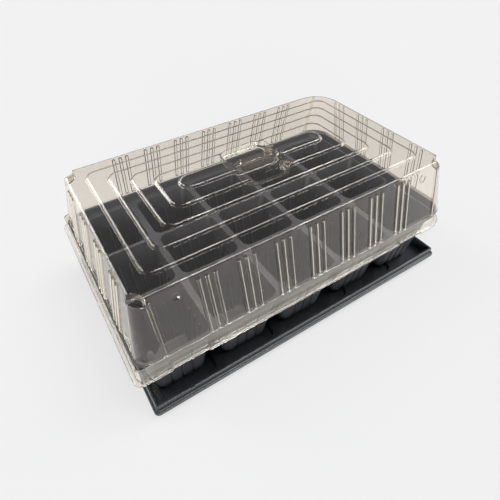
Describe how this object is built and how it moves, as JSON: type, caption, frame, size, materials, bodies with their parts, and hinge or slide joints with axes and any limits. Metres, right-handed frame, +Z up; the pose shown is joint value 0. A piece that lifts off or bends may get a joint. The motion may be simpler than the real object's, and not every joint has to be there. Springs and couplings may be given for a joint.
{
  "type": "humidity dome tray",
  "caption": "Clear stepped propagator lid with a pinch handle over a black multi-cell seed insert standing in a shallow black drip tray.",
  "frame": {"origin": "middle of the footprint, on the underside of the drip tray", "axes": "+Z up, +X along the long side, -Y is the front long side"},
  "size_m": [0.385, 0.236, 0.1592],
  "materials": {
    "clear_lid": "clear thermoformed PET sheet, glossy",
    "cell_insert": "black thermoformed polystyrene sheet, satin",
    "drip_tray": "black thermoformed polystyrene sheet, satin"
  },
  "bodies": {
    "drip_tray": {"drip_floor": "drip_tray", "drip_rim": "drip_tray"},
    "cell_insert": {"cell_web": "cell_insert", "cell_rim": "cell_insert", "cell_1_1": "cell_insert", "cell_1_2": "cell_insert", "cell_1_3": "cell_insert", "cell_1_4": "cell_insert", "cell_1_5": "cell_insert", "cell_2_1": "cell_insert", "cell_2_2": "cell_insert", "cell_2_3": "cell_insert", "cell_2_4": "cell_insert", "cell_2_5": "cell_insert", "cell_3_1": "cell_insert", "cell_3_2": "cell_insert", "cell_3_3": "cell_insert", "cell_3_4": "cell_insert", "cell_3_5": "cell_insert"},
    "lid": {"dome_roof": "clear_lid", "dome_walls": "clear_lid", "dome_rim": "clear_lid"}
  },
  "joints": [
    {"name": "insert_lift", "type": "slide", "parent": "drip_tray", "child": "cell_insert", "axis": [0, 0, 1], "range_m": [0, 0.09]},
    {"name": "lid_lift", "type": "slide", "parent": "cell_insert", "child": "lid", "axis": [0, 0, 1], "range_m": [0, 0.1]}
  ]
}
